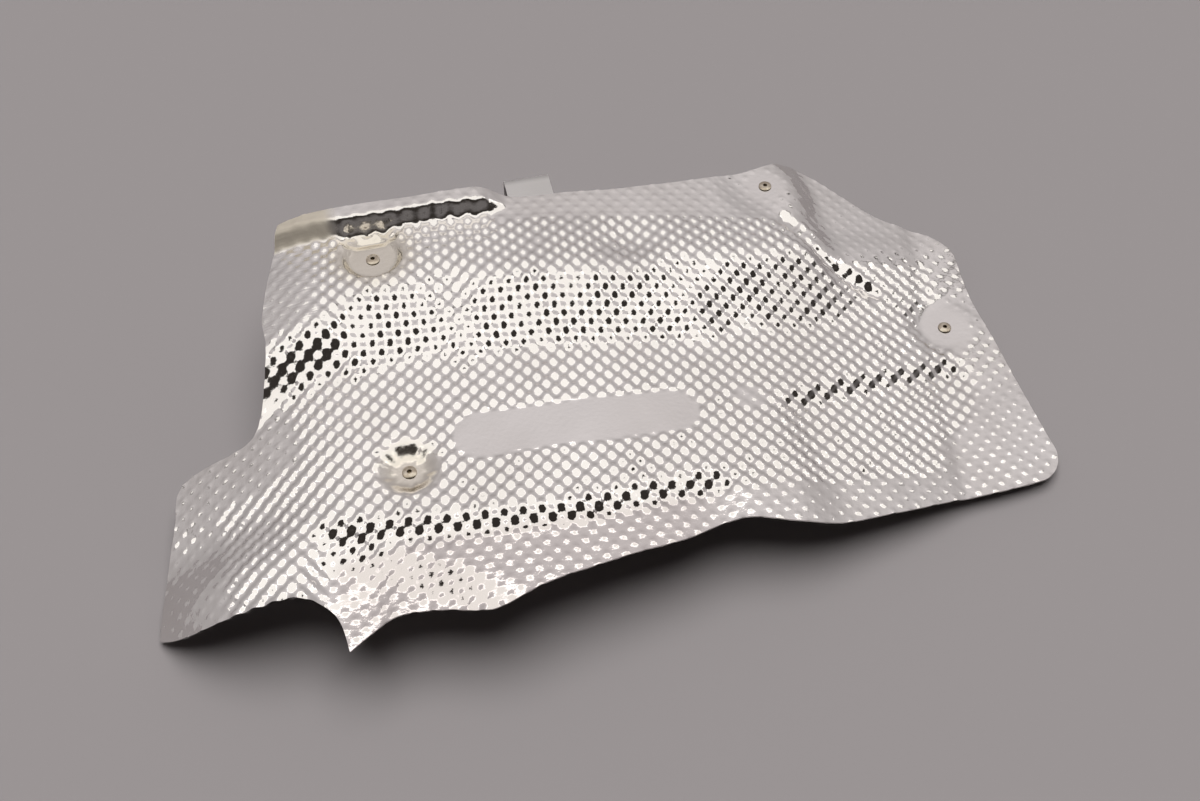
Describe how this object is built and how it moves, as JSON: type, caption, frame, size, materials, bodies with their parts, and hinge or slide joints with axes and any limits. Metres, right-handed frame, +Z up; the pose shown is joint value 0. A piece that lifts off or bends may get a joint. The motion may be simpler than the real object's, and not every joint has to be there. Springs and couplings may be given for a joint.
{
  "type": "exhaust heat shield",
  "caption": "Pressed aluminium exhaust heat shield with an embossed skin, back lip, dished rivet seats, a bare label pad, an arched pipe lobe and steel mounting straps riveted behind it.",
  "frame": {"origin": "middle of the bounding box's base, on the floor the shield lies on", "axes": "+X along the panel from the arched lobe to the right flange, +Y to the back edge with the lip, +Z up through the embossed outer face"},
  "size_m": [0.4071, 0.2518, 0.0593],
  "materials": {
    "embossed_aluminium": "bright rolled sheet, embossed",
    "rivet_steel": "plated, slightly warm",
    "strap_steel": "matt plated"
  },
  "bodies": {
    "root": {"shield_panel": "embossed_aluminium", "blind_rivets": "rivet_steel", "back_strap": "strap_steel", "front_strap": "strap_steel"}
  },
  "joints": []
}
